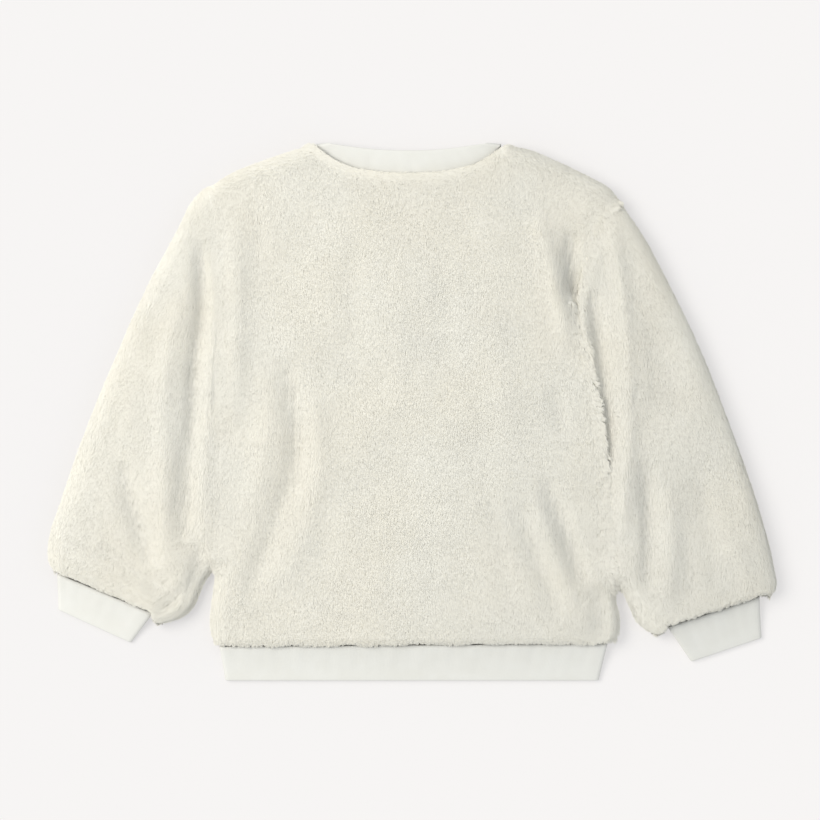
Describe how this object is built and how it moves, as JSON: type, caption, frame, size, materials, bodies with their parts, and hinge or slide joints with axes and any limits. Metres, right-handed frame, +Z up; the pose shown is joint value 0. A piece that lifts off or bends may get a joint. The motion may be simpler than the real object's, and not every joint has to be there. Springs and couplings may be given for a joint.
{
  "type": "sherpa fleece pullover",
  "caption": "Child's sherpa fleece pullover laid flat on its front, back up, with long balloon sleeves and smooth doubled bands at neck, cuffs and hem.",
  "frame": {"origin": "middle of the garment's footprint, on the surface that it lies on", "axes": "+X across the garment from its left cuff to its right as seen from above, +Y from the hem up to the neck, +Z up from the surface through the back"},
  "size_m": [0.5849, 0.4304, 0.0279],
  "materials": {
    "fleece": "soft cream sherpa pile, matt",
    "jersey": "smooth doubled cream jersey, matt"
  },
  "bodies": {
    "root": {"back_panel": "fleece", "front_panel": "fleece", "sleeve_left": "fleece", "sleeve_right": "fleece", "cuff_left": "jersey", "cuff_right": "jersey", "hem_band": "jersey", "neck_band": "jersey"}
  },
  "joints": []
}
